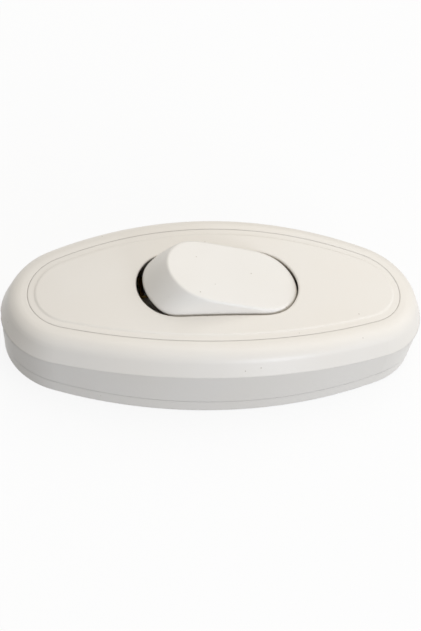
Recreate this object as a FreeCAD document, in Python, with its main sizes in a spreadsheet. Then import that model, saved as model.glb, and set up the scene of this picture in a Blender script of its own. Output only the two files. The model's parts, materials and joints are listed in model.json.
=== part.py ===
import FreeCAD, Part
import math
import os
import re

import Sketcher
from FreeCAD import Placement, Rotation, Vector

# Inline cord switch: an oval moulded housing with a rocker, and the see-saw contact inside it.
# Origin at the middle of the flat underside, +X along the cord, +Z up, millimetres.

# Driving dimensions: name, value, meaning
dimensions = [
    ("half_length", "40.1", "half the length over the ends"),
    ("half_width", "19.25", "half the width over the sides"),
    ("end_radius", "14.25", "plan radius of the two ends"),
    ("crest_height", "14.9", "height of the arched top's rim at the middle"),
    ("crown_drop", "3.36", "fall of the arched top from the middle to an end"),
    ("bevel_depth", "4.65", "height of the bevel between the top and the side"),
    ("bevel_width", "2.05", "width of the bevel between the top and the side"),
    ("shoulder_radius", "3.2", "round between the top and the bevel"),
    ("crease_height", "10.4", "height of the crease under the bevel at the middle"),
    ("crease_drop", "3.1", "fall of the crease from the middle to an end"),
    ("crease_step", "0.1", "ledge under the crease at the middle"),
    ("parting_height", "2.9", "height of the joint between cover and housing"),
    ("parting_inset", "0.7", "inset of the side at the joint"),
    ("cover_step", "0.12", "step in from the housing to the cover at the joint"),
    ("foot_inset", "0.95", "inset of the side at the underside"),
    ("foot_edge", "0.4", "round along the edge of the underside"),
    ("wall", "2", "thickness of the side wall"),
    ("panel", "2.2", "thickness of the arched top"),
    ("core_radius", "2", "round inside, between the top and the side"),
    ("slit_inset", "5", "inset of the fine slit round the top"),
    ("slit_width", "0.08", "width of the fine slit round the top"),
    ("slit_depth", "0.25", "depth of the fine slit round the top"),
    ("plateau_inset", "6.2", "inset of the raised field inside the slit"),
    ("plateau_rise", "0.15", "rise of the raised field over the rim"),
    ("plateau_edge", "0.5", "round along the edge of the raised field"),
    ("floor", "1.6", "thickness of the cover"),
    ("lip_height", "1.5", "height of the cover's lip above the joint"),
    ("lip_wall", "1", "thickness of the cover's lip"),
    ("lip_gap", "0.1", "room between the lip and the housing"),
    ("inlet_radius", "2.1", "radius of the cord inlets"),
    ("inlet_height", "5.5", "height of the cord inlets' axis"),
    ("pivot_height", "7.36", "height of the rocker's pivot"),
    ("rocker_reach", "16.25", "distance from the pivot to the rocker's ends"),
    ("rocker_end_radius", "9.2", "round of the rocker's ends"),
    ("rocker_half_width", "7.65", "half the rocker's width"),
    ("rocker_top", "10.1", "height of the rocker's flat top over the pivot"),
    ("rocker_foot", "4.4", "height of the rocker's lower edge over the pivot"),
    ("rocker_tilt", "14.3", "tilt of the rocker at each end of its travel"),
    ("rocker_gap", "0.4", "room between the rocker and its opening"),
    ("opening_edge", "0.25", "round along the opening's top edge"),
    ("rocker_wall", "1.5", "thickness of the rocker's walls"),
    ("rocker_corner", "5", "plan round between the rocker's ends and sides"),
    ("rocker_edge", "0.4", "round along the rocker's top edge"),
    ("ear_radius", "2.6", "round of the rocker's ears about the pivot"),
    ("trunnion_radius", "1.5", "radius of the rocker's trunnions"),
    ("trunnion_length", "2.2", "length of the rocker's trunnions"),
    ("running_gap", "0.05", "radial room of the turning and sliding fits"),
    ("lug_width", "3.2", "half the width of the bearing lugs"),
    ("lug_thickness", "2.2", "thickness of the bearing lugs"),
    ("lug_mouth", "1.25", "half the width of the snap-in mouth of a lug"),
    ("post_wall", "0.9", "wall of the post round the plunger"),
    ("post_drop", "0.4", "reach of the post under the pivot"),
    ("rib_thickness", "1.2", "thickness of the rocker's cross rib"),
    ("rib_foot", "3", "height of the cross rib's lower edge over the pivot"),
    ("plunger_radius", "1.7", "radius of the plunger's barrel"),
    ("plunger_drop", "0.9", "reach of the plunger's barrel under the pivot"),
    ("plunger_seat", "3.2", "height of the spring's seat on the plunger over the pivot"),
    ("plunger_spigot", "0.85", "radius of the spigot inside the spring"),
    ("spigot_length", "1.2", "length of the spigot inside the spring"),
    ("tip_radius", "1.1", "radius of the plunger's round tip"),
    ("tip_gap", "0.05", "room between the tip and the level see-saw"),
    ("spring_radius", "1.25", "mean radius of the plunger's spring"),
    ("spring_wire", "0.2", "radius of the spring's wire"),
    ("spring_turns", "5", "turns of the plunger's spring"),
    ("spring_gap", "0.05", "room at each end of the spring"),
    ("fulcrum_height", "3.8", "height of the see-saw's axis"),
    ("bridge_thickness", "0.5", "thickness of the contact strip"),
    ("bridge_half_width", "2.2", "half the width of the contact strip"),
    ("bridge_flat", "3", "half the length of the strip's level middle"),
    ("bridge_run", "1.5", "length of the crank in each arm"),
    ("bridge_rise", "1.2", "rise of the crank in each arm"),
    ("bridge_arm", "10.4", "reach of the contact arm"),
    ("bridge_idle_arm", "8", "reach of the idle arm"),
    ("bridge_tilt", "5", "tilt of the see-saw at each end of its travel"),
    ("tab_half_width", "0.6", "half the width of the strip's pivot tabs"),
    ("tab_overhang", "0.3", "reach of the tabs past the uprights"),
    ("tab_gap", "0.1", "room under a pivot tab"),
    ("notch_gap", "0.2", "room beside a pivot tab"),
    ("contact_setback", "1.9", "distance of the contacts in from the end of the contact arm"),
    ("contact_radius", "1.5", "radius of the contact heads"),
    ("contact_head", "0.6", "height of the moving contact's head"),
    ("contact_gap", "0.1", "room between the contacts when they are closed"),
    ("rivet_radius", "0.8", "radius of the contacts' shanks"),
    ("rivet_tail", "1.1", "radius of the contacts' riveted tails"),
    ("rivet_tail_height", "0.25", "height of the contacts' riveted tails"),
    ("rivet_gap", "0.02", "radial room round the contacts' shanks"),
    ("strip_thickness", "0.8", "thickness of the terminal strips"),
    ("strip_half_width", "3.5", "half the width of the line strips"),
    ("strip_pad", "0.3", "height of the pads under the strips"),
    ("upright_half_width", "1.8", "half the width of the see-saw's uprights"),
    ("upright_rise", "0.6", "rise of the uprights over the see-saw's axis"),
    ("terminal_setback", "23", "distance of the line screws in from the ends"),
    ("terminal_margin", "3.5", "strip past a terminal screw"),
    ("contact_margin", "3", "strip inside the fixed contact"),
    ("neutral_setback", "8.2", "distance of the neutral bar in from the side"),
    ("neutral_half_width", "2.5", "half the width of the neutral bar"),
    ("neutral_reach", "9.5", "distance from the middle to the neutral screws"),
    ("screw_radius", "1.45", "radius of the terminal and cover screws"),
    ("screw_head_radius", "2.6", "radius of the terminal and cover screws' heads"),
    ("screw_head_height", "1.6", "height of the terminal and cover screws' heads"),
    ("screw_gap", "0.05", "radial room round the screws"),
    ("screw_slot", "0.7", "width of the screws' slots"),
    ("slot_depth", "0.7", "depth of the screws' slots"),
    ("terminal_grip", "1", "length of a terminal screw in the cover"),
    ("washer_half_width", "2.7", "half the width of the square washers"),
    ("washer_thickness", "0.8", "thickness of the square washers"),
    ("clamp_setback", "8.5", "distance of the cord clamps in from the ends"),
    ("clamp_screw_offset", "5.6", "distance of a clamp screw from the cord's axis"),
    ("clamp_height", "7.8", "height of the clamps' underside"),
    ("clamp_half_width", "2", "half the width of a clamp bar"),
    ("clamp_thickness", "1.4", "thickness of a clamp bar"),
    ("clamp_ridge", "0.7", "radius of the ridge that bites the cord"),
    ("clamp_screw_radius", "1.1", "radius of the clamp screws"),
    ("clamp_head_radius", "1.9", "radius of the clamp screws' heads"),
    ("clamp_head_height", "1.1", "height of the clamp screws' heads"),
    ("clamp_grip", "4.5", "length of a clamp screw in its post"),
    ("clamp_post_radius", "2.2", "radius of the clamp posts"),
    ("cradle_height", "1.4", "height of the ribs under the cord"),
    ("cradle_thickness", "0.8", "thickness of the ribs under the cord"),
    ("cover_screw_setback", "14.5", "distance of the cover screws in from the ends"),
    ("cover_screw_sink", "0.4", "depth of the cover screws' heads in the underside"),
    ("cover_screw_grip", "6", "length of a cover screw in its boss"),
    ("recess_gap", "0.3", "radial room round the cover screws' heads"),
    ("boss_radius", "2.7", "radius of the cover screws' bosses"),
    ("seat_radius", "4", "radius of the cover screws' seats"),
    ("seat_rise", "0.5", "rise of the cover screws' seats over the joint"),
]

# Sizes worked out from the driving dimensions
end_centre = "(half_length - end_radius)"
side_radius = f"(({end_centre}^2 + half_width^2 - end_radius^2) / (2 * (half_width - end_radius)))"
crown_radius = "((half_length^2 + crown_drop^2) / (2 * crown_drop))"
crease_radius = "((half_length^2 + crease_drop^2) / (2 * crease_drop))"
terminal_reach = "(half_length - terminal_setback)"
neutral_offset = "(half_width - neutral_setback)"
clamp_reach = "(half_length - clamp_setback)"
cover_screw_reach = "(half_length - cover_screw_setback)"
contact_reach = "(bridge_arm - contact_setback)"
core_inset = "(parting_inset + wall)"
lip_inset = f"({core_inset} + lip_gap)"
tray_inset = f"({lip_inset} + lip_wall)"
strip_bottom = "(floor + strip_pad)"
strip_top = f"({strip_bottom} + strip_thickness)"
bridge_half = "(bridge_thickness / 2)"
tip_level = f"(fulcrum_height + {bridge_half} + tip_gap - pivot_height)"
bore_radius = "(plunger_radius + running_gap)"
roof_level = "(rocker_top - rocker_wall)"
opening_half_width = "(rocker_half_width + rocker_gap)"
seat_top = "(parting_height + seat_rise)"
recess_top = "(cover_screw_sink + screw_head_height)"
closed_contact = (
    f"(fulcrum_height + (bridge_rise - {bridge_half} - contact_head) * cos(bridge_tilt)"
    f" - ({contact_reach} + contact_radius) * sin(bridge_tilt))"
)

# Directions and the two ends of the switch
along = Vector(1, 0, 0)
across = Vector(0, 1, 0)
up = Vector(0, 0, 1)
ends = {"left": -1, "right": 1}
flanks = {"front": -1, "back": 1}

doc = FreeCAD.newDocument("inline_cord_switch")
sizes = doc.addObject("Spreadsheet::Sheet", "Sizes")
for row, (alias, value, meaning) in enumerate(dimensions, 1):
    sizes.set(f"A{row}", meaning)
    sizes.set(f"B{row}", value)
    sizes.setAlias(f"B{row}", alias)
doc.recompute()
aliases = {alias for alias, value, meaning in dimensions}


def size(alias):
    return float(sizes.get(alias))


def linked(formula):
    return re.sub(r"[a-z_]+", lambda word: ("Sizes." if word[0] in aliases else "") + word[0], formula)


def bind(item, formulas):
    for name, formula in formulas.items():
        item.setExpression(name, linked(formula))
    return item


def move(item, x="0", y="0", z="0"):
    return bind(item, {"Placement.Base.x": x, "Placement.Base.y": y, "Placement.Base.z": z})


def cylinder(name, radius, height, x="0", y="0", z="0", axis=up):
    item = doc.addObject("Part::Cylinder", name)
    item.Placement = Placement(Vector(), Rotation(up, axis))
    bind(item, {"Radius": radius, "Height": height})
    return move(item, x, y, z)


def cross_cylinder(name, radius, reach, x="0", z="0"):
    return cylinder(name, radius, f"2 * ({reach})", x, f"-({reach})", z, across)


def block(name, x, y, z):
    item = doc.addObject("Part::Box", name)
    for side, (low, high) in {"Length": x, "Width": y, "Height": z}.items():
        bind(item, {side: f"({high}) - ({low})"})
    return move(item, x[0], y[0], z[0])


def middle(half):
    return (f"-({half})", f"({half})")


def fuse(name, *pieces):
    item = doc.addObject("Part::MultiFuse", name)
    item.Shapes = list(pieces)
    item.Refine = True
    return item


def common(name, *pieces):
    item = doc.addObject("Part::MultiCommon", name)
    item.Shapes = list(pieces)
    return item


def cut(name, base, *tools):
    item = doc.addObject("Part::Cut", name)
    item.Base = base
    item.Tool = tools[0] if len(tools) == 1 else fuse(name + "_tools", *tools)
    return item


def work_edges(kind, name, base, first, second, chosen):
    doc.recompute()
    item = doc.addObject(kind, name)
    item.Base = base
    item.Edges = [(number, size(first), size(second)) for number, edge in enumerate(base.Shape.Edges, 1)
                  if chosen(edge)]
    return item


def round_edges(name, base, radius, chosen):
    return work_edges("Part::Fillet", name, base, radius, radius, chosen)


# Chooses the edges of the highest face
def on_top(base):
    doc.recompute()
    top = max(base.Shape.Faces, key=lambda face: face.CenterOfMass.z)
    return lambda edge: any(edge.isSame(other) for other in top.Edges)


def round_top(name, base, radius):
    return round_edges(name, base, radius, on_top(base))


# Bevel that runs the depth down the sides and the width across the top
def bevel_top(name, base, depth, width):
    return work_edges("Part::Chamfer", name, base, depth, width, on_top(base))


def new_sketch(body, name, plane, height="0"):
    sketch = body.newObject("Sketcher::SketchObject", name)
    support = [feature for feature in body.Origin.OriginFeatures if feature.Role == plane]
    sketch.AttachmentSupport = (support[0], [""])
    sketch.MapMode = "FlatFace"
    return bind(sketch, {"AttachmentOffset.Base.z": height})


def hold(sketch, name, formula, *constraint):
    number = sketch.addConstraint(Sketcher.Constraint(*constraint))
    sketch.renameConstraint(number, name)
    bind(sketch, {"Constraints." + name: formula})


# Oval of four tangent arcs, inset evenly from the outline
def draw_oval(sketch, inset):
    centre = size("half_length") - size("end_radius")
    flank = (centre**2 + size("half_width")**2 - size("end_radius")**2)
    flank /= 2 * (size("half_width") - size("end_radius"))
    offset = flank - size("half_width")
    turn = math.atan2(offset, centre)
    arcs = [(centre, 0, size("end_radius"), -turn, turn),
            (0, -offset, flank, turn, math.pi - turn),
            (-centre, 0, size("end_radius"), math.pi - turn, math.pi + turn),
            (0, offset, flank, math.pi + turn, 2 * math.pi - turn)]
    for x, y, radius, start, end in arcs:
        circle = Part.Circle(Vector(x, y, 0), up, radius)
        sketch.addGeometry(Part.ArcOfCircle(circle, start, end))
    for number in range(4):
        sketch.addConstraint(Sketcher.Constraint("Tangent", number, 2, (number + 1) % 4, 1))
    sketch.addConstraint(Sketcher.Constraint("PointOnObject", 0, 3, -1))
    sketch.addConstraint(Sketcher.Constraint("Symmetric", 0, 3, 2, 3, -1, 1))
    sketch.addConstraint(Sketcher.Constraint("Equal", 0, 2))
    sketch.addConstraint(Sketcher.Constraint("Equal", 1, 3))
    hold(sketch, "end_centre", end_centre, "DistanceX", -1, 1, 0, 3, centre)
    hold(sketch, "end_radius", f"end_radius - ({inset})", "Radius", 0, size("end_radius"))
    hold(sketch, "side_radius", f"{side_radius} - ({inset})", "Radius", 1, flank)


def oval_block(name, inset, bottom, top, taper="0"):
    body = doc.addObject("PartDesign::Body", name)
    sketch = new_sketch(body, name + "_outline", "XY_Plane", bottom)
    draw_oval(sketch, inset)
    pad = body.newObject("PartDesign::Pad", name + "_pad")
    pad.Profile = sketch
    bind(pad, {"Length": f"({top}) - ({bottom})", "TaperAngle": taper})
    return body


# Cylinder lying across the switch, whose top is an arch with its crest at the given height
def arch(name, radius, crest):
    reach = "(half_width * 2)"
    return cylinder(name, radius, f"2 * {reach}", "0", f"-{reach}", f"{crest} - {radius}", across)


# Plain-sided strip bent or cut to a straight-edged outline, padded to both sides of its plane
def strip(name, plane, corners, thickness):
    body = doc.addObject("PartDesign::Body", name)
    sketch = new_sketch(body, name + "_outline", plane)
    count = len(corners)
    ring = [Vector(math.cos(step), math.sin(step), 0) * size("half_width")
            for step in (2 * math.pi * number / count for number in range(count))]
    for number in range(count):
        sketch.addGeometry(Part.LineSegment(ring[number], ring[(number + 1) % count]))
    for number in range(count):
        sketch.addConstraint(Sketcher.Constraint("Coincident", number, 2, (number + 1) % count, 1))
    for number, (x, y) in enumerate(corners):
        hold(sketch, f"x{number}", x, "DistanceX", -1, 1, number, 1, ring[number].x)
        hold(sketch, f"y{number}", y, "DistanceY", -1, 1, number, 1, ring[number].y)
    pad = body.newObject("PartDesign::Pad", name + "_pad")
    pad.Profile = sketch
    pad.SideType = "Symmetric"
    bind(pad, {"Length": thickness})
    return body


# Barrel about the pivot axis: the rocker's round ends keep their distance as it turns
def barrel(name, growth):
    body = doc.addObject("PartDesign::Body", name)
    sketch = new_sketch(body, name + "_section", "XY_Plane")
    half = size("rocker_half_width")
    end = size("rocker_end_radius")
    centre = size("rocker_reach") - end
    turn = math.asin(half / end)
    corner = centre + end * math.cos(turn)
    sketch.addGeometry(Part.LineSegment(Vector(0, -half, 0), Vector(corner, -half, 0)))
    sketch.addGeometry(Part.ArcOfCircle(Part.Circle(Vector(centre, 0, 0), up, end), -turn, turn))
    sketch.addGeometry(Part.LineSegment(Vector(corner, half, 0), Vector(0, half, 0)))
    sketch.addGeometry(Part.LineSegment(Vector(0, half, 0), Vector(0, -half, 0)))
    for number in range(4):
        sketch.addConstraint(Sketcher.Constraint("Coincident", number, 2, (number + 1) % 4, 1))
    sketch.addConstraint(Sketcher.Constraint("Horizontal", 0))
    sketch.addConstraint(Sketcher.Constraint("Horizontal", 2))
    sketch.addConstraint(Sketcher.Constraint("PointOnObject", 3, 1, -2))
    sketch.addConstraint(Sketcher.Constraint("PointOnObject", 3, 2, -2))
    sketch.addConstraint(Sketcher.Constraint("PointOnObject", 1, 3, -1))
    grown_half = f"rocker_half_width + ({growth})"
    hold(sketch, "back", grown_half, "DistanceY", -1, 1, 3, 1, half)
    hold(sketch, "front", grown_half, "DistanceY", 3, 2, -1, 1, half)
    hold(sketch, "round", f"rocker_end_radius + ({growth})", "Radius", 1, end)
    hold(sketch, "centre", "rocker_reach - rocker_end_radius", "DistanceX", -1, 1, 1, 3, centre)
    turned = body.newObject("PartDesign::Revolution", name + "_turned")
    turned.Profile = sketch
    turned.ReferenceAxis = (sketch, ["V_Axis"])
    turned.Angle = 360
    doc.recompute()
    rims = [f"Edge{number}" for number, edge in enumerate(turned.Shape.Edges, 1)
            if edge.isClosed() and abs(edge.CenterOfMass.y) > half / 2]
    corner_round = body.newObject("PartDesign::Fillet", name + "_corner")
    corner_round.Base = (turned, rims)
    bind(corner_round, {"Radius": f"rocker_corner + ({growth})"})
    return body


nodes = {}


def finish(name, item):
    item.Label = name
    nodes[name] = item


# Turns a piece that was drawn level into its place on the tilted rocker
def on_rocker(item):
    item.Placement = Placement(Vector(), Rotation(across, size("rocker_tilt")))
    return bind(item, {"Placement.Base.z": "pivot_height", "Placement.Rotation.Angle": "rocker_tilt"})


# Turns a piece that was drawn level into its place on the tilted see-saw
def on_bridge(item):
    item.Placement = Placement(Vector(), Rotation(-across, size("bridge_tilt")))
    return bind(item, {"Placement.Base.z": "fulcrum_height", "Placement.Rotation.Angle": "bridge_tilt"})


# Bearing lug with its snap-in mouth, hung from the arched top beside the rocker
def bearing_lug(name, sign):
    inner = opening_half_width
    outer = f"({opening_half_width} + lug_thickness)"
    sides = (inner, outer) if sign > 0 else (f"-{outer}", f"-{inner}")
    hanger = block(name + "_hanger", middle("lug_width"), sides, ("pivot_height", "crest_height - panel / 2"))
    tongue = cylinder(name + "_tongue", "lug_width", "lug_thickness", "0", sides[0], "pivot_height", across)
    bearing = cylinder(name + "_bearing", "trunnion_radius + running_gap", "lug_thickness", "0", sides[0],
                       "pivot_height", across)
    mouth = block(name + "_mouth", middle("lug_mouth"), sides, ("pivot_height - 2 * lug_width", "pivot_height"))
    return cut(name, fuse(name + "_blank", hanger, tongue), bearing, mouth)


# The opening's edges on the arched top, over the rocker
def on_opening_rim(edge):
    box = edge.BoundBox
    above = box.ZMin > size("crest_height") - size("panel") / 2
    return above and box.YLength + abs(box.Center.y) * 2 < size("rocker_half_width") * 2 + size("wall")


def upper_housing():
    top = "crest_height + panel"
    low = "parting_height"
    crown = arch("crown", crown_radius, "crest_height")
    pad = common("shoulder_blank", oval_block("shoulder_oval", "0", low, top), crown)
    bevel = bevel_top("shoulder_bevelled", pad, "bevel_depth", "bevel_width")
    shoulder = round_top("shoulder_rounded", bevel, "shoulder_radius")
    crease = arch("crease", crease_radius, "crease_height")
    brow = cut("brow", shoulder, crease)
    taper = "atan((parting_inset - crease_step) / (crease_height - parting_height))"
    skirt_oval = oval_block("skirt_oval", "parting_inset", low, "crease_height", taper)
    skirt = common("skirt", skirt_oval, arch("skirt_arch", crease_radius, "crease_height"))
    core_oval = oval_block("core_oval", core_inset, f"{low} - wall", top)
    core_arch = arch("core_arch", f"({crown_radius} - panel)", "crest_height - panel")
    core = round_top("core_rounded", common("core_blank", core_oval, core_arch), "core_radius")
    plateau_oval = oval_block("plateau_oval", "plateau_inset", low, top)
    plateau_arch = arch("plateau_arch", f"({crown_radius} + plateau_rise)", "crest_height + plateau_rise")
    plateau = round_top("plateau", common("plateau_blank", plateau_oval, plateau_arch), "plateau_edge")
    slit_outer = oval_block("slit_outer", "slit_inset", low, top)
    slit_inner = oval_block("slit_inner", "slit_inset + slit_width", low, top)
    slit_arch = arch("slit_arch", f"({crown_radius} - slit_depth)", "crest_height - slit_depth")
    slit = cut("slit", slit_outer, slit_inner, slit_arch)
    opening = move(barrel("opening", "rocker_gap"), z="pivot_height")
    inlets = cylinder("inlets", "inlet_radius", "2 * half_length", "-half_length", "0", "inlet_height", along)
    shell = cut("shell", fuse("shell_blank", brow, skirt, plateau), core, slit, opening, inlets)
    shell = round_edges("shell_edged", shell, "opening_edge", on_opening_rim)
    lugs = [bearing_lug("lug_" + side, sign) for side, sign in flanks.items()]
    bosses = []
    bores = []
    for side, sign in ends.items():
        place = f"{sign} * {cover_screw_reach}"
        boss_top = f"crest_height - crown_drop * ({cover_screw_reach} / half_length)^2 - panel / 2 - {seat_top}"
        bosses.append(cylinder("boss_" + side, "boss_radius", boss_top, place, "0", seat_top))
        bores.append(cylinder("boss_bore_" + side, "screw_radius + screw_gap",
                              f"{recess_top} + cover_screw_grip + wall", place, "0", "0"))
    finish("upper_housing", cut("housing", fuse("housing_blank", shell, *lugs, *bosses), *bores))


def base_cover():
    taper = "atan((foot_inset - parting_inset - cover_step) / parting_height)"
    tray = oval_block("tray_oval", "foot_inset", "0", "parting_height", taper)
    tray = round_edges("tray", tray, "foot_edge", lambda edge: edge.BoundBox.ZMax < size("foot_edge"))
    lip_top = "parting_height + lip_height"
    lip = oval_block("lip", lip_inset, "floor", lip_top)
    hollow = oval_block("tray_hollow", tray_inset, "floor", lip_top)
    added = []
    removed = []
    for side, sign in ends.items():
        clamp_x = f"{sign} * {clamp_reach}"
        screw_x = f"{sign} * {cover_screw_reach}"
        added.append(cylinder("seat_" + side, "seat_radius", f"{seat_top} - floor / 2", screw_x, "0", "floor / 2"))
        removed.append(cylinder("seat_hole_" + side, "screw_radius + screw_gap", seat_top, screw_x, "0", "0"))
        removed.append(cylinder("recess_" + side, "screw_head_radius + recess_gap", recess_top, screw_x, "0", "0"))
        cradle = middle("inlet_radius")
        rib = (f"{clamp_x} - cradle_thickness / 2", f"{clamp_x} + cradle_thickness / 2")
        added.append(block("cradle_" + side, rib, cradle, ("floor / 2", "floor + cradle_height")))
        for flank, turn in flanks.items():
            y = f"{turn} * clamp_screw_offset"
            post = cylinder(f"post_{side}_{flank}", "clamp_post_radius", "clamp_height - floor / 2", clamp_x, y,
                            "floor / 2")
            hole = cylinder(f"post_hole_{side}_{flank}", "clamp_screw_radius + screw_gap",
                            "clamp_grip + clamp_head_height / 2", clamp_x, y,
                            "clamp_height - clamp_grip - clamp_head_height / 2")
            added.append(post)
            removed.append(hole)
    for name, (x, y) in terminals.items():
        pad = (f"{x} - washer_half_width", f"{x} + washer_half_width")
        rest = (f"{y} - neutral_half_width", f"{y} + neutral_half_width")
        added.append(block(name + "_pad", pad, rest, ("floor / 2", strip_bottom)))
        removed.append(cylinder(name + "_hole", "screw_radius + screw_gap", "terminal_grip + screw_gap", x, y,
                                f"{strip_bottom} - terminal_grip - screw_gap"))
    inner_rest = (f"{contact_reach} - contact_margin", f"{contact_reach} - contact_radius")
    added.append(block("contact_pad", inner_rest, middle("bridge_half_width"), ("floor / 2", strip_bottom)))
    added.append(block("fulcrum_pad", middle("upright_half_width"), middle("bridge_half_width"),
                       ("floor / 2", strip_bottom)))
    notch = block("inlet_notches", middle("half_length"), middle("inlet_radius + recess_gap"),
                  ("parting_height", lip_top))
    tub = cut("tub", fuse("tub_blank", tray, lip), hollow, notch)
    finish("base_cover", cut("base", fuse("base_blank", tub, *added), *removed))


def rocker():
    slab = block("rocker_slab", middle("rocker_reach"), middle("rocker_half_width"), ("rocker_foot", "rocker_top"))
    cap = round_top("cap", common("cap_blank", barrel("rocker_barrel", "0"), slab), "rocker_edge")
    under = block("hollow_slab", middle("rocker_reach"), middle("rocker_half_width"), ("-rocker_foot", roof_level))
    hollow = common("rocker_hollow", barrel("hollow_barrel", "-rocker_wall"), under)
    skin = cut("rocker_skin", cap, hollow)
    ears = []
    for flank, sign in flanks.items():
        outer = "rocker_half_width"
        inner = "(rocker_half_width - rocker_wall)"
        sides = (inner, outer) if sign > 0 else (f"-{outer}", f"-{inner}")
        ears.append(block("ear_" + flank, middle("ear_radius"), sides, ("0", roof_level)))
        ears.append(cylinder("ear_round_" + flank, "ear_radius", "rocker_wall", "0", sides[0], "0", across))
        start = inner if sign > 0 else f"-({outer} + trunnion_length)"
        ears.append(cylinder("trunnion_" + flank, "trunnion_radius", "trunnion_length + rocker_wall", "0", start,
                             "0", across))
    post = cylinder("post", f"{bore_radius} + post_wall", f"{roof_level} + rocker_wall / 2 + post_drop",
                    "0", "0", "-post_drop")
    rib = block("rocker_rib", middle("rib_thickness / 2"), middle("rocker_half_width - rocker_wall / 2"),
                ("rib_foot", f"{roof_level} + rocker_wall / 2"))
    bore = cylinder("plunger_bore", bore_radius, f"{roof_level} + post_drop", "0", "0", "-post_drop")
    item = cut("rocker_whole", fuse("rocker_blank", skin, *ears, post, rib), bore)
    finish("rocker", on_rocker(item))


def plunger():
    tip = doc.addObject("Part::Sphere", "tip")
    bind(tip, {"Radius": "tip_radius"})
    move(tip, z=f"{tip_level} + tip_radius")
    neck = cylinder("neck", "tip_radius", f"0 - plunger_drop - {tip_level} - tip_radius + running_gap", "0", "0",
                    f"{tip_level} + tip_radius")
    shank = cylinder("plunger_barrel", "plunger_radius", "plunger_seat + plunger_drop", "0", "0", "-plunger_drop")
    spigot = cylinder("spigot", "plunger_spigot", "spigot_length + running_gap", "0", "0",
                      "plunger_seat - running_gap")
    finish("plunger", on_rocker(fuse("plunger_whole", tip, neck, shank, spigot)))


def plunger_spring():
    body = doc.addObject("PartDesign::Body", "spring_body")
    sketch = new_sketch(body, "spring_wire_section", "XZ_Plane")
    centre = Vector(size("spring_radius"), size("plunger_seat"), 0)
    sketch.addGeometry(Part.Circle(centre, up, size("spring_wire")))
    hold(sketch, "wire", "spring_wire", "Radius", 0, size("spring_wire"))
    hold(sketch, "coil", "spring_radius", "DistanceX", -1, 1, 0, 3, centre.x)
    hold(sketch, "seat", "plunger_seat + spring_wire + spring_gap", "DistanceY", -1, 1, 0, 3, centre.y)
    coil = body.newObject("PartDesign::AdditiveHelix", "spring_coil")
    coil.Profile = sketch
    coil.ReferenceAxis = (sketch, ["V_Axis"])
    coil.Mode = "height-turns-angle"
    bind(coil, {"Height": f"{roof_level} - plunger_seat - 2 * (spring_wire + spring_gap)", "Turns": "spring_turns"})
    finish("plunger_spring", on_rocker(body))


def contact_bridge():
    lean = "bridge_thickness * tan(atan(bridge_rise / bridge_run) / 2)"
    low = f"-{bridge_half}"
    high = bridge_half
    knee = "(bridge_flat + bridge_run)"
    corners = [("-bridge_idle_arm", f"bridge_rise - {high}"), (f"-{knee}", f"bridge_rise - {high}"),
               ("-bridge_flat", low), ("bridge_flat", low),
               (knee, f"bridge_rise - {high}"), ("bridge_arm", f"bridge_rise - {high}"),
               ("bridge_arm", f"bridge_rise + {high}"), (f"{knee} - {lean}", f"bridge_rise + {high}"),
               (f"bridge_flat - {lean}", high), (f"{lean} - bridge_flat", high),
               (f"{lean} - {knee}", f"bridge_rise + {high}"), ("-bridge_idle_arm", f"bridge_rise + {high}")]
    blank = strip("bridge_strip", "XZ_Plane", corners, "2 * bridge_half_width")
    tabs = block("bridge_tabs", middle("tab_half_width"), middle("strip_half_width + tab_overhang"), (low, high))
    hole = cylinder("bridge_hole", "rivet_radius + rivet_gap", "2 * bridge_rise", contact_reach)
    finish("contact_bridge", on_bridge(cut("bridge_whole", fuse("bridge_blank", blank, tabs), hole)))


def moving_contact():
    under = f"bridge_rise - {bridge_half}"
    head = cylinder("moving_head", "contact_radius", "contact_head", contact_reach, "0", f"{under} - contact_head")
    shank = cylinder("moving_shank", "rivet_radius", "bridge_thickness", contact_reach, "0", under)
    tail = cylinder("moving_tail", "rivet_tail", "rivet_tail_height", contact_reach, "0",
                    f"bridge_rise + {bridge_half}")
    finish("moving_contact", on_bridge(fuse("moving_rivet", head, shank, tail)))


def fixed_contact():
    head = cylinder("fixed_head", "contact_radius", f"{closed_contact} - contact_gap - {strip_top}",
                    contact_reach, "0", strip_top)
    shank = cylinder("fixed_shank", "rivet_radius", "strip_thickness", contact_reach, "0", strip_bottom)
    tail = cylinder("fixed_tail", "rivet_tail", "rivet_tail_height", contact_reach, "0",
                    f"{strip_bottom} - rivet_tail_height")
    finish("fixed_contact", fuse("fixed_rivet", head, shank, tail))


def screw_hole(name):
    x, y = terminals[name]
    return cylinder(name + "_strip_hole", "screw_radius + screw_gap", "strip_thickness", x, y, strip_bottom)


def line_in_terminal():
    level = (strip_bottom, strip_top)
    flat = block("line_in_flat", (f"-{terminal_reach} - terminal_margin", "upright_half_width"),
                 middle("strip_half_width"), level)
    rise = (strip_bottom, "fulcrum_height + upright_rise")
    front = block("upright_front", middle("upright_half_width"),
                  ("-strip_half_width", "strip_thickness - strip_half_width"), rise)
    back = block("upright_back", middle("upright_half_width"),
                 ("strip_half_width - strip_thickness", "strip_half_width"), rise)
    notch = block("upright_notch", middle("tab_half_width + notch_gap"), middle("strip_half_width"),
                  (f"fulcrum_height - {bridge_half} - tab_gap", "fulcrum_height + upright_rise"))
    blank = fuse("line_in_blank", flat, front, back)
    finish("line_in_terminal", cut("line_in_strip", blank, notch, screw_hole("line_in")))


def line_out_terminal():
    flat = block("line_out_flat", (f"{contact_reach} - contact_margin", f"{terminal_reach} + terminal_margin"),
                 middle("strip_half_width"), (strip_bottom, strip_top))
    rivet = cylinder("line_out_rivet_hole", "rivet_radius + rivet_gap", "strip_thickness", contact_reach, "0",
                     strip_bottom)
    finish("line_out_terminal", cut("line_out_strip", flat, rivet, screw_hole("line_out")))


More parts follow.
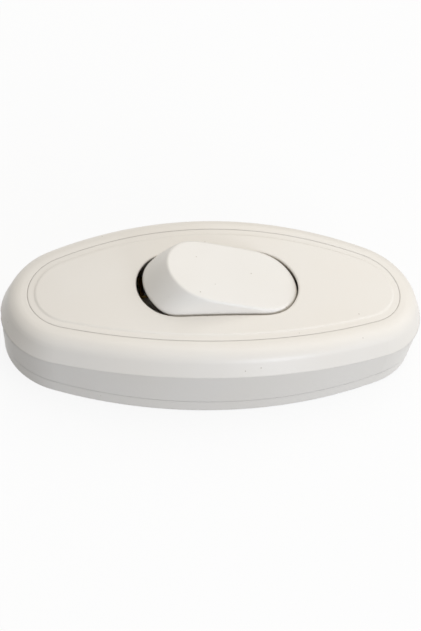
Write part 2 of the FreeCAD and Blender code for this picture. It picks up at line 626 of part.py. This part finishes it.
def neutral_link():
    bar = block("neutral_flat", middle("neutral_reach + terminal_margin"),
                (f"{neutral_offset} - neutral_half_width", f"{neutral_offset} + neutral_half_width"),
                (strip_bottom, strip_top))
    holes = [screw_hole(name) for name in terminals if name.startswith("neutral")]
    finish("neutral_link", cut("neutral_bar", bar, *holes))


# Slotted screw standing on its shank, head up or head down
def slotted_screw(name, x, y, under_head, grip, radius, head_radius, head_height, facing=1):
    head_low = under_head if facing > 0 else f"{under_head} - {head_height}"
    shank_low = f"{under_head} - {grip}" if facing > 0 else under_head
    slot_low = f"{under_head} + {head_height} - slot_depth" if facing > 0 else head_low
    head = cylinder(name + "_head", head_radius, head_height, x, y, head_low)
    shank = cylinder(name + "_shank", radius, grip, x, y, shank_low)
    slot = block(name + "_slot", (f"{x} - screw_slot / 2", f"{x} + screw_slot / 2"),
                 (f"{y} - {head_radius}", f"{y} + {head_radius}"), (slot_low, f"{slot_low} + slot_depth"))
    finish(name, cut(name + "_whole", fuse(name + "_blank", head, shank), slot))


def terminal_fasteners():
    for name, (x, y) in terminals.items():
        plate = block(name + "_plate", (f"{x} - washer_half_width", f"{x} + washer_half_width"),
                      (f"{y} - neutral_half_width", f"{y} + neutral_half_width"),
                      (strip_top, f"{strip_top} + washer_thickness"))
        hole = cylinder(name + "_plate_hole", "screw_radius + screw_gap", "washer_thickness", x, y, strip_top)
        finish(name + "_washer", cut(name + "_square_washer", plate, hole))
        slotted_screw(name + "_screw", x, y, f"({strip_top} + washer_thickness)",
                      "(washer_thickness + strip_thickness + terminal_grip)",
                      "screw_radius", "screw_head_radius", "screw_head_height")


def cord_clamps():
    for side, sign in ends.items():
        x = f"{sign} * {clamp_reach}"
        level = ("clamp_height", "clamp_height + clamp_thickness")
        width = (f"{x} - clamp_half_width", f"{x} + clamp_half_width")
        bar = [block("bar_" + side, width, middle("clamp_screw_offset"), level),
               cross_cylinder("ridge_" + side, "clamp_ridge", "clamp_screw_offset - clamp_post_radius - recess_gap",
                              x, "clamp_height")]
        holes = []
        for flank, turn in flanks.items():
            y = f"{turn} * clamp_screw_offset"
            bar.append(cylinder(f"bar_end_{side}_{flank}", "clamp_half_width", "clamp_thickness", x, y, level[0]))
            holes.append(cylinder(f"bar_hole_{side}_{flank}", "clamp_screw_radius + screw_gap",
                                  "clamp_thickness", x, y, level[0]))
            slotted_screw(f"clamp_screw_{side}_{flank}", x, y, "(clamp_height + clamp_thickness)",
                          "(clamp_thickness + clamp_grip)",
                          "clamp_screw_radius", "clamp_head_radius", "clamp_head_height")
        finish("cord_clamp_" + side, cut("clamp_" + side, fuse("clamp_blank_" + side, *bar), *holes))


def cover_screws():
    for side, sign in ends.items():
        slotted_screw("cover_screw_" + side, f"{sign} * {cover_screw_reach}", "0", recess_top,
                      f"({seat_top} - {recess_top} + cover_screw_grip)",
                      "screw_radius", "screw_head_radius", "screw_head_height", facing=-1)


terminals = {
    "line_in": ("-" + terminal_reach, "0"),
    "line_out": (terminal_reach, "0"),
    "neutral_in": ("-neutral_reach", neutral_offset),
    "neutral_out": ("neutral_reach", neutral_offset),
}

upper_housing()
base_cover()
rocker()
plunger()
plunger_spring()
contact_bridge()
moving_contact()
fixed_contact()
line_in_terminal()
line_out_terminal()
neutral_link()
terminal_fasteners()
cord_clamps()
cover_screws()
doc.recompute()

faults = [item.Name for item in doc.Objects if {"Invalid", "Error"} & set(item.State)]
faults += [name for name, item in nodes.items() if item.Shape.isNull() or not item.Shape.isValid()]
if faults:
    raise RuntimeError("failed: " + ", ".join(faults))
os.makedirs("parts", exist_ok=True)
for name, item in nodes.items():
    item.Shape.exportStep(f"parts/{name}.step")
    print(name, len(item.Shape.Solids), round(item.Shape.Volume, 3))
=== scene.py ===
import json
import math

import bpy
from mathutils import Matrix, Vector

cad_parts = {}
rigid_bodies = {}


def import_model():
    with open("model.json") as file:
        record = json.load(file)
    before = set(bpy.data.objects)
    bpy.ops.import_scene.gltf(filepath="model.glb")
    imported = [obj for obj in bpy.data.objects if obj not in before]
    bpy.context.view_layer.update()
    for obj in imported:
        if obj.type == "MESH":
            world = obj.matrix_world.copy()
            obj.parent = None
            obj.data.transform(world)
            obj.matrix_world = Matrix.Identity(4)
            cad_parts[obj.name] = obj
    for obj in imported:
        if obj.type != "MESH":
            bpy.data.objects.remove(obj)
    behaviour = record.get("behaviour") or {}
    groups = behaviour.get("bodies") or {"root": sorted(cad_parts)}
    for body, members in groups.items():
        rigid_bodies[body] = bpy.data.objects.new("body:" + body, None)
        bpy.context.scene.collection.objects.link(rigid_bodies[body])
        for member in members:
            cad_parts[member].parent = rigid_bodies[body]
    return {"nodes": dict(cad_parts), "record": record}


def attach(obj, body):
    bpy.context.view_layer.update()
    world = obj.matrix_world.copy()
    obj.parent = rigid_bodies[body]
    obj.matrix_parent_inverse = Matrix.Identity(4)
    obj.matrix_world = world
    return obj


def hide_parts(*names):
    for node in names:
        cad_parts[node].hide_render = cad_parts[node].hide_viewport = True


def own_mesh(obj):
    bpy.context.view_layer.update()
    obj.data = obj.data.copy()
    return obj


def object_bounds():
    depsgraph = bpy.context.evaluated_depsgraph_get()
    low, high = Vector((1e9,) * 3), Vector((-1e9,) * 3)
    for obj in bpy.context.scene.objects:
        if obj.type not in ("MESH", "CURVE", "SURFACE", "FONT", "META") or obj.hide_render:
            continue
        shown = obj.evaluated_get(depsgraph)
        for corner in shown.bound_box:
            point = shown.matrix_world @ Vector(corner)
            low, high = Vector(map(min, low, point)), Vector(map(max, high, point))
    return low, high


for leftover in list(bpy.data.objects):
    bpy.data.objects.remove(leftover)

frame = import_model()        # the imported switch, in metres
cadBounds = [list(corner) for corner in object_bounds()]
print("switch loaded:", len(frame["nodes"]), "pieces")

mm = 0.001
fullTurn = 2 * math.pi
noiseLow, noiseHigh = 0.3, 0.7                      # most of a noise texture lies between these
mixShare, mixFrom, mixTo, mixResult = 0, 6, 7, 2    # colour sockets of a Mix node


# sRGB curve, from a hex colour to the linear values that Blender's sockets take
def toLinear(hexColour):
    channels = [int(hexColour[i:i + 2], 16) / 255 for i in (1, 3, 5)]
    return [c / 12.92 if c <= 0.04045 else ((c + 0.055) / 1.055) ** 2.4 for c in channels] + [1.0]


# Adds one node; a socket given as an input is linked, anything else is set
def addNode(tree, kind, inputs, **settings):
    node = tree.nodes.new(kind)
    for name, value in settings.items():
        setattr(node, name, value)
    for name, value in inputs.items():
        if isinstance(value, bpy.types.NodeSocket):
            tree.links.new(value, node.inputs[name])
        else:
            node.inputs[name].default_value = value
    return node


def newMaterial(name):
    material = bpy.data.materials.new(name)
    material.use_nodes = True
    material.node_tree.nodes.clear()
    return material


# Moulded urea plastic: an even ivory body with a soft gloss, faint cloudiness in the colour,
# polishing lines left by the mould, a slight orange peel, stray dark specks, and dust in the corners with
# painted shade there
housingPlastic = {
    "pale": "#EDE9E1", "warm": "#E9E2D5", "cloud": 24 * mm, "cloudOctaves": 3,
    "ior": 1.55, "roughLow": 0.285, "roughHigh": 0.36, "sheenPatch": 7 * mm, "sheenOctaves": 4,
    "speck": "#B8AE9F", "speckSpacing": 3.8 * mm, "speckRadius": 0.18 * mm,
    "speckCore": 1 / 3,          # share of a speck's radius that has its full colour
    # Dust colour that also serves as painted shade, laid into corners and creases by how enclosed a spot is
    "dustAndShade": "#A89A80", "dustAndShadeShare": 0.2, "dustAndShadeReach": 0.6 * mm, "dustAndShadeSamples": 16,
    "openStart": 0.95, "openFull": 0.45,            # how open a corner is where dust and painted shade begin and are full
    "edgeRound": 0.4 * mm, "edgeSamples": 8,
    "sinkSize": 11 * mm, "sinkOctaves": 1, "sinkDepth": 0.02 * mm,
    "lineSpacing": 0.5 * mm,     # real polishing lines are near 0.02 mm apart, drawn coarser to show
    "lineLength": 22 * mm, "lineOctaves": 2, "lineDepth": 0.0016 * mm,
    "grain": 0.9 * mm,           # real grain is near 0.05 mm, drawn coarser to show
    "grainOctaves": 2, "grainDepth": 0.0012 * mm,
}
# The rocker's plastic is less yellow and a little duller, with rounder edges
rockerPlastic = dict(housingPlastic, pale="#EAE7E0", warm="#E7E2D8", roughLow=0.3, roughHigh=0.4,
                     speckSpacing=2.9 * mm, lineDepth=0.0008 * mm, edgeRound=0.7 * mm)


def mouldedUrea(name, look):
    material = newMaterial(name)
    tree = material.node_tree
    place = addNode(tree, "ShaderNodeTexCoord", {}).outputs["Object"]

    # Colour: the clouded body, specks on it, then dust and painted shade in the corners
    cloud = addNode(tree, "ShaderNodeTexNoise", {
        "Vector": place, "Scale": 1 / look["cloud"], "Detail": look["cloudOctaves"]})
    body = addNode(tree, "ShaderNodeMix", {
        mixShare: cloud.outputs["Fac"], mixFrom: toLinear(look["pale"]), mixTo: toLinear(look["warm"]),
    }, data_type="RGBA")
    cells = addNode(tree, "ShaderNodeTexVoronoi", {"Vector": place, "Scale": 1 / look["speckSpacing"]})
    rim = look["speckRadius"] / look["speckSpacing"]
    speck = addNode(tree, "ShaderNodeMapRange", {
        "Value": cells.outputs["Distance"], "From Min": rim, "From Max": rim * look["speckCore"]})
    specked = addNode(tree, "ShaderNodeMix", {
        mixShare: speck.outputs["Result"], mixFrom: body.outputs[mixResult], mixTo: toLinear(look["speck"]),
    }, data_type="RGBA")
    # Dust and painted shade: the dust colour goes where ambient occlusion finds close surfaces, so corners,
    # creases and slits come out darker as if in shade
    corner = addNode(tree, "ShaderNodeAmbientOcclusion", {"Distance": look["dustAndShadeReach"]},
                     samples=look["dustAndShadeSamples"])
    dustAndShadeMask = addNode(tree, "ShaderNodeMapRange", {
        "Value": corner.outputs["AO"], "From Min": look["openStart"], "From Max": look["openFull"],
        "To Max": look["dustAndShadeShare"]})
    dustedAndShaded = addNode(tree, "ShaderNodeMix", {
        mixShare: dustAndShadeMask.outputs["Result"], mixFrom: specked.outputs[mixResult],
        mixTo: toLinear(look["dustAndShade"]),
    }, data_type="RGBA")

    patch = addNode(tree, "ShaderNodeTexNoise", {
        "Vector": place, "Scale": 1 / look["sheenPatch"], "Detail": look["sheenOctaves"]})
    gloss = addNode(tree, "ShaderNodeMapRange", {
        "Value": patch.outputs["Fac"], "From Min": noiseLow, "From Max": noiseHigh,
        "To Min": look["roughLow"], "To Max": look["roughHigh"]})

    # Relief: softened edges, shallow sink marks, polishing lines along the switch, then fine grain
    softened = addNode(tree, "ShaderNodeBevel", {"Radius": look["edgeRound"]}, samples=look["edgeSamples"])
    sink = addNode(tree, "ShaderNodeTexNoise", {
        "Vector": place, "Scale": 1 / look["sinkSize"], "Detail": look["sinkOctaves"]})
    sunk = addNode(tree, "ShaderNodeBump", {
        "Height": sink.outputs["Fac"], "Distance": look["sinkDepth"], "Normal": softened.outputs["Normal"]})
    stretch = [1 / look["lineLength"], 1 / look["lineSpacing"], 1 / look["lineSpacing"]]
    drawn = addNode(tree, "ShaderNodeMapping", {"Vector": place, "Scale": stretch})
    lines = addNode(tree, "ShaderNodeTexNoise", {
        "Vector": drawn.outputs["Vector"], "Scale": 1, "Detail": look["lineOctaves"]})
    lined = addNode(tree, "ShaderNodeBump", {
        "Height": lines.outputs["Fac"], "Distance": look["lineDepth"], "Normal": sunk.outputs["Normal"]})
    grain = addNode(tree, "ShaderNodeTexNoise", {
        "Vector": place, "Scale": 1 / look["grain"], "Detail": look["grainOctaves"]})
    grained = addNode(tree, "ShaderNodeBump", {
        "Height": grain.outputs["Fac"], "Distance": look["grainDepth"], "Normal": lined.outputs["Normal"]})

    shader = addNode(tree, "ShaderNodeBsdfPrincipled", {
        "Base Color": dustedAndShaded.outputs[mixResult], "Roughness": gloss.outputs["Result"], "IOR": look["ior"],
        "Normal": grained.outputs["Normal"]})
    addNode(tree, "ShaderNodeOutputMaterial", {"Surface": shader.outputs["BSDF"]})
    return material


# Moulded nylon of the hidden pieces: milky off-white and matt, with a faint flow mottle
nylon = {
    "pale": "#E3E1DC", "milky": "#D7D4CA", "ior": 1.53, "roughLow": 0.45, "roughHigh": 0.6,
    "mottle": 0.8 * mm, "mottleOctaves": 4, "mottleDepth": 0.004 * mm,
}


def mouldedNylon(name, look):
    material = newMaterial(name)
    tree = material.node_tree
    place = addNode(tree, "ShaderNodeTexCoord", {}).outputs["Object"]
    mottle = addNode(tree, "ShaderNodeTexNoise", {
        "Vector": place, "Scale": 1 / look["mottle"], "Detail": look["mottleOctaves"]})
    body = addNode(tree, "ShaderNodeMix", {
        mixShare: mottle.outputs["Fac"], mixFrom: toLinear(look["pale"]), mixTo: toLinear(look["milky"]),
    }, data_type="RGBA")
    gloss = addNode(tree, "ShaderNodeMapRange", {
        "Value": mottle.outputs["Fac"], "From Min": noiseLow, "From Max": noiseHigh,
        "To Min": look["roughLow"], "To Max": look["roughHigh"]})
    grained = addNode(tree, "ShaderNodeBump", {
        "Height": mottle.outputs["Fac"], "Distance": look["mottleDepth"]})
    shader = addNode(tree, "ShaderNodeBsdfPrincipled", {
        "Base Color": body.outputs[mixResult], "Roughness": gloss.outputs["Result"], "IOR": look["ior"],
        "Normal": grained.outputs["Normal"]})
    addNode(tree, "ShaderNodeOutputMaterial", {"Surface": shader.outputs["BSDF"]})
    return material


# Rolled brass: warm yellow with long fine lines from the rolling and duller brown tarnish
rolledBrass = {
    "clean": "#D3B66D", "tarnished": "#A67F3C", "tarnish": 3 * mm, "tarnishOctaves": 5,
    "tarnishStart": 0.45, "tarnishFull": 0.75,      # noise values where tarnish begins and is full
    "streakSpacing": 0.25 * mm, "streakLength": 8 * mm, "streakOctaves": 3, "streakDepth": 0.003 * mm,
    "roughLow": 0.28, "roughHigh": 0.44,
}
# Zinc-plated steel: cool pale grey with short scratches and dull patches
platedSteel = dict(rolledBrass, clean="#C6C9CC", tarnished="#9A9C9A", tarnish=1.6 * mm, roughHigh=0.45,
                   streakSpacing=0.2 * mm, streakLength=1.2 * mm, streakDepth=0.004 * mm)
# Contact silver: nearly white and the shiniest, faintly yellowed
contactSilver = dict(rolledBrass, clean="#E4E1D8", tarnished="#B5AB98", tarnish=0.9 * mm, roughLow=0.18,
                     roughHigh=0.35, streakSpacing=0.15 * mm, streakLength=0.4 * mm, streakDepth=0.002 * mm)


def workedMetal(name, look):
    material = newMaterial(name)
    tree = material.node_tree
    place = addNode(tree, "ShaderNodeTexCoord", {}).outputs["Object"]
    stain = addNode(tree, "ShaderNodeTexNoise", {
        "Vector": place, "Scale": 1 / look["tarnish"], "Detail": look["tarnishOctaves"]})
    aged = addNode(tree, "ShaderNodeMapRange", {
        "Value": stain.outputs["Fac"], "From Min": look["tarnishStart"], "From Max": look["tarnishFull"]})
    body = addNode(tree, "ShaderNodeMix", {
        mixShare: aged.outputs["Result"], mixFrom: toLinear(look["clean"]),
        mixTo: toLinear(look["tarnished"]),
    }, data_type="RGBA")
    stretch = [1 / look["streakLength"], 1 / look["streakSpacing"], 1 / look["streakSpacing"]]
    drawn = addNode(tree, "ShaderNodeMapping", {"Vector": place, "Scale": stretch})
    streak = addNode(tree, "ShaderNodeTexNoise", {
        "Vector": drawn.outputs["Vector"], "Scale": 1, "Detail": look["streakOctaves"]})
    gloss = addNode(tree, "ShaderNodeMapRange", {
        "Value": streak.outputs["Fac"], "From Min": noiseLow, "From Max": noiseHigh,
        "To Min": look["roughLow"], "To Max": look["roughHigh"]})
    scored = addNode(tree, "ShaderNodeBump", {
        "Height": streak.outputs["Fac"], "Distance": look["streakDepth"]})
    shader = addNode(tree, "ShaderNodeBsdfPrincipled", {
        "Base Color": body.outputs[mixResult], "Roughness": gloss.outputs["Result"], "Metallic": 1.0,
        "Normal": scored.outputs["Normal"]})
    addNode(tree, "ShaderNodeOutputMaterial", {"Surface": shader.outputs["BSDF"]})
    return material


finishes = {
    "housing_plastic": mouldedUrea("ivory_moulded_urea", housingPlastic),
    "rocker_plastic": mouldedUrea("white_moulded_urea", rockerPlastic),
    "inner_plastic": mouldedNylon("moulded_nylon", nylon),
    "brass": workedMetal("rolled_brass", rolledBrass),
    "plated_steel": workedMetal("zinc_plated_steel", platedSteel),
    "contact_silver": workedMetal("contact_silver", contactSilver),
}
for node in frame["nodes"].values():
    for slot in node.material_slots:
        slot.material = finishes[slot.material.name.split(".")[0]]
print("finishes:", ", ".join(finishes))

# Plunger's spring: round steel wire, its end turns wound closer
springCoil = {
    "wireRadius": 0.2 * mm, "turns": 5, "stepsPerTurn": 28, "sides": 10,
    "endPitch": 1.1,             # pitch of the end turns, in wire thicknesses
}


def windSpring(values):
    joints = {joint["name"]: joint for joint in frame["record"]["behaviour"]["joints"]}
    pivot = Vector(joints["rocker_tilt"]["pos_m"])
    across = Vector(joints["rocker_tilt"]["axis"])
    along = Vector(joints["plunger_slide"]["axis"]).normalized()
    aside = along.cross(across)

    # The CAD spring gives the room: its two ends along the plunger and its outer radius
    room = [vertex.co - pivot for vertex in frame["nodes"]["plunger_spring"].data.vertices]
    bottom, top = (pick(point.dot(along) for point in room) for pick in (min, max))
    wire, turns, sides = values["wireRadius"], values["turns"], values["sides"]
    radius = max((point - along * point.dot(along)).length for point in room) - wire
    length = top - bottom - 2 * wire
    closing = 1 - values["endPitch"] * 2 * wire * turns / length    # how far the end turns close up

    steps = turns * values["stepsPerTurn"]
    points = []
    for step in range(steps + 1):
        share = step / steps
        angle = fullTurn * turns * share
        climb = length * (share - closing * math.sin(fullTurn * share) / fullTurn)
        outward = aside * math.cos(angle) + across * math.sin(angle)
        middle = pivot + along * (bottom + wire + climb) + outward * radius
        for side in range(sides):
            turn = fullTurn * side / sides
            points.append(middle + (outward * math.cos(turn) + along * math.sin(turn)) * wire)
    ends = [tuple(range(sides)), tuple(reversed(range(steps * sides, (steps + 1) * sides)))]
    walls = []
    for step in range(steps):
        for side in range(sides):
            first, second = step * sides + side, step * sides + (side + 1) % sides
            walls.append((first, first + sides, second + sides, second))

    mesh = bpy.data.meshes.new("wound_spring")
    mesh.from_pydata(points, [], ends + walls)
    for polygon in mesh.polygons:
        polygon.use_smooth = polygon.index >= len(ends)      # the cut ends of the wire stay flat
    mesh.materials.append(finishes["plated_steel"])
    spring = bpy.data.objects.new("wound_spring", mesh)
    bpy.context.scene.collection.objects.link(spring)
    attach(spring, "rocker")
    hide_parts("plunger_spring")
    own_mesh(spring)
    print("spring wound:", turns, "turns,", round((top - bottom) / mm, 2), "mm long")


windSpring(springCoil)

# Photograph's viewpoint: the switch lies turned a little, seen from in front and above
viewpoint = {
    "azimuth": -13.085, "elevation": 48.0, "roll": 8.585,                   # degrees
    "distance": 0.295262, "clipNear": 0.01, "clipFar": 20,                  # metres
    "focalPixels": 1535.4, "centrePixels": (209.43, 335.96), "photoPixels": (421, 631),
    "sensor": 36.0,                                                         # millimetres
}


def setCamera(values):
    azimuth, elevation, roll = (math.radians(values[key]) for key in ("azimuth", "elevation", "roll"))
    back = Vector((math.sin(azimuth) * math.cos(elevation), -math.cos(azimuth) * math.cos(elevation),
                   math.sin(elevation)))
    right = Vector((math.cos(azimuth), math.sin(azimuth), 0))
    above = back.cross(right)
    turnedRight = right * math.cos(roll) + above * math.sin(roll)
    turnedAbove = above * math.cos(roll) - right * math.sin(roll)
    camera = bpy.data.objects.new("camera", bpy.data.cameras.new("camera"))
    bpy.context.scene.collection.objects.link(camera)
    camera.matrix_world = Matrix.Translation(back * values["distance"]) @ Matrix(
        (turnedRight, turnedAbove, back)).transposed().to_4x4()
    width, height = values["photoPixels"]
    middleX, middleY = (width - 1) / 2, (height - 1) / 2
    centreX, centreY = values["centrePixels"]
    camera.data.sensor_width = values["sensor"]
    camera.data.lens = values["focalPixels"] * values["sensor"] / height    # the sensor spans the long side
    camera.data.shift_x = (middleX - centreX) / height
    camera.data.shift_y = (centreY - middleY) / height
    camera.data.clip_start = values["clipNear"]
    camera.data.clip_end = values["clipFar"]
    bpy.context.scene.camera = camera


setCamera(viewpoint)
print("camera set")

# Soft studio, in metres and watts: a big warm box overhead to the right, a wide cool fill from the front
# right that leaves no reflection, a small window low in front for the sheen on the shoulder, a pale floor
studio = {
    "lamps": {
        "key": {"direction": (0.4, 0.37, 0.85), "distance": 1.3, "width": 1.8, "height": 1.8,
                "power": 9.9, "colour": "#FFFBF5", "shine": True},
        "fill": {"direction": (0.62, -0.76, 0.19), "distance": 1.1, "width": 1.0, "height": 0.4,
                 "power": 5.5, "colour": "#EAF1FF", "shine": False},
        "window": {"direction": (0.38, -0.9, 0.165), "distance": 1.1, "width": 0.26, "height": 0.33,
                   "power": 2.2, "colour": "#EAF1FF", "shine": True},
    },
    "sky": "#F8F8FA", "skyStrength": 0.56, "backdrop": "#FFFFFF",
    "floorSize": 6.0, "floorSeen": "#FAFAF8", "floorBounce": "#4C4B4A",
    "floorGlow": 0.85,           # share of the floor's look that is plain white, the rest takes the shadow
    "floorGap": 0.02 * mm,       # keeps the floor and the underside from lying in one plane
}


def hangLamp(name, values):
    light = bpy.data.lights.new(name, "AREA")
    light.shape = "RECTANGLE"
    light.size = values["width"]
    light.size_y = values["height"]
    light.energy = values["power"]
    light.color = toLinear(values["colour"])[:3]
    lamp = bpy.data.objects.new(name, light)
    bpy.context.scene.collection.objects.link(lamp)
    direction = Vector(values["direction"]).normalized()
    lamp.location = direction * values["distance"]
    lamp.rotation_mode = "QUATERNION"
    lamp.rotation_quaternion = direction.to_track_quat("Z", "Y")
    lamp.visible_camera = False
    lamp.visible_glossy = values["shine"]


# 1 for what the camera sees directly, in a reflection or through glass, and 0 for light that bounces
def seenRays(tree):
    path = addNode(tree, "ShaderNodeLightPath", {})
    mirrored = addNode(tree, "ShaderNodeMath", {
        0: path.outputs["Is Camera Ray"], 1: path.outputs["Is Glossy Ray"]}, operation="MAXIMUM")
    return addNode(tree, "ShaderNodeMath", {
        0: mirrored.outputs[0], 1: path.outputs["Is Transmission Ray"]}, operation="MAXIMUM").outputs[0]


def setSky(values):
    world = bpy.data.worlds.new("studio")
    bpy.context.scene.world = world
    world.use_nodes = True
    tree = world.node_tree
    tree.nodes.clear()
    lit = addNode(tree, "ShaderNodeBackground", {
        "Color": toLinear(values["sky"]), "Strength": values["skyStrength"]})
    plain = addNode(tree, "ShaderNodeBackground", {"Color": toLinear(values["backdrop"])})
    sky = addNode(tree, "ShaderNodeMixShader", {0: seenRays(tree), 1: lit.outputs[0], 2: plain.outputs[0]})
    addNode(tree, "ShaderNodeOutputWorld", {"Surface": sky.outputs[0]})


# Matt paper: shows pale, and sends less light up at the switch than it shows
def layFloor(values):
    half = values["floorSize"] / 2
    level = cadBounds[0][2] - values["floorGap"]
    corners = [(-half, -half, level), (half, -half, level), (half, half, level), (-half, half, level)]
    mesh = bpy.data.meshes.new("floor")
    mesh.from_pydata(corners, [], [(0, 1, 2, 3)])
    floor = bpy.data.objects.new("floor", mesh)
    bpy.context.scene.collection.objects.link(floor)
    material = newMaterial("pale_paper")
    tree = material.node_tree
    seen = seenRays(tree)
    tone = addNode(tree, "ShaderNodeMix", {
        mixShare: seen, mixFrom: toLinear(values["floorBounce"]), mixTo: toLinear(values["floorSeen"]),
    }, data_type="RGBA")
    matt = addNode(tree, "ShaderNodeBsdfDiffuse", {"Color": tone.outputs[mixResult]})
    plain = addNode(tree, "ShaderNodeEmission", {"Color": toLinear(values["backdrop"])})
    glow = addNode(tree, "ShaderNodeMath", {0: seen, 1: values["floorGlow"]}, operation="MULTIPLY")
    paper = addNode(tree, "ShaderNodeMixShader", {
        0: glow.outputs[0], 1: matt.outputs[0], 2: plain.outputs[0]})
    addNode(tree, "ShaderNodeOutputMaterial", {"Surface": paper.outputs[0]})
    mesh.materials.append(material)


for name, values in studio["lamps"].items():
    hangLamp(name, values)
setSky(studio)
layFloor(studio)
bpy.context.scene.view_settings.view_transform = "Standard"
print("studio lit")
